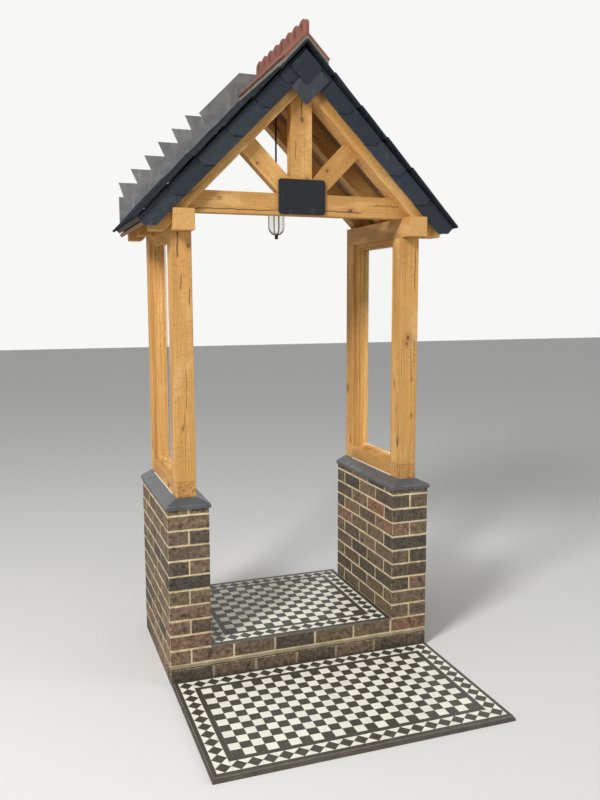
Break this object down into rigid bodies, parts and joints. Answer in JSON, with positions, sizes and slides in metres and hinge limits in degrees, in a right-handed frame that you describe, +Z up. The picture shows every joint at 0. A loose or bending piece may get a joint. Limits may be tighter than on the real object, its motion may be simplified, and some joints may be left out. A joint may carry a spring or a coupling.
{
  "type": "entrance porch",
  "caption": "Gabled oak-framed entrance porch on brick dwarf walls, with glazed sides, slate roof, slate-hung verge, crested terracotta ridge and chequer-tiled step",
  "frame": {"origin": "on the ground, at the middle of the bounding box in plan", "axes": "+Z up; +Y from the open front to the house wall; +X to the right as one looks in from the front"},
  "size_m": [1.692, 1.7204, 3.2626],
  "materials": {
    "brick": "rough fired brick, mixed browns and blue-greys, cream mortar",
    "coping": "rough charcoal weathering coping",
    "tile": "matte chequer of dark grey and cream tiles",
    "concrete": "pale rough concrete",
    "oak": "sawn fresh oak with knots and drying checks",
    "pale_timber": "planed softwood",
    "glass": "clear",
    "slate": "riven blue-grey slate",
    "lead": "dull grey sheet lead",
    "terracotta": "matte terracotta",
    "mortar": "rough bedding mortar",
    "dark_metal": "dark bronze satin",
    "lantern_glass": "clear"
  },
  "bodies": {
    "root": {"apex_lead": "lead", "apex_slate": "slate", "front_ridge_tile": "terracotta", "king_post": "oak", "landing_bed": "concrete", "landing_tiles": "tile", "lantern_cage": "dark_metal", "lantern_glass": "lantern_glass", "lantern_rod": "dark_metal", "left_barge_board": "pale_timber", "left_barge_slates": "slate", "left_bottom_rail": "oak", "left_coping": "coping", "left_dwarf_wall": "brick", "left_front_post": "oak", "left_front_rafter": "oak", "left_glazing_beads": "oak", "left_roof_boarding": "pale_timber", "left_roof_slates": "slate", "left_strut": "oak", "left_wall_flashing": "lead", "left_wall_plate": "oak", "left_wall_post": "oak", "left_window_frame": "oak", "left_window_glass": "glass", "middle_rafters": "oak", "name_plaque": "slate", "rear_ridge_tile": "terracotta", "ridge_bedding": "mortar", "ridge_board": "oak", "ridge_saddle": "lead", "right_barge_board": "pale_timber", "right_barge_slates": "slate", "right_bottom_rail": "oak", "right_coping": "coping", "right_dwarf_wall": "brick", "right_front_post": "oak", "right_front_rafter": "oak", "right_glazing_beads": "oak", "right_roof_boarding": "pale_timber", "right_roof_slates": "slate", "right_strut": "oak", "right_wall_flashing": "lead", "right_wall_plate": "oak", "right_wall_post": "oak", "right_window_frame": "oak", "right_window_glass": "glass", "roof_battens": "pale_timber", "step_base": "brick", "step_tiles": "tile", "tie_beam": "oak", "wall_rafters": "oak"}
  },
  "joints": []
}
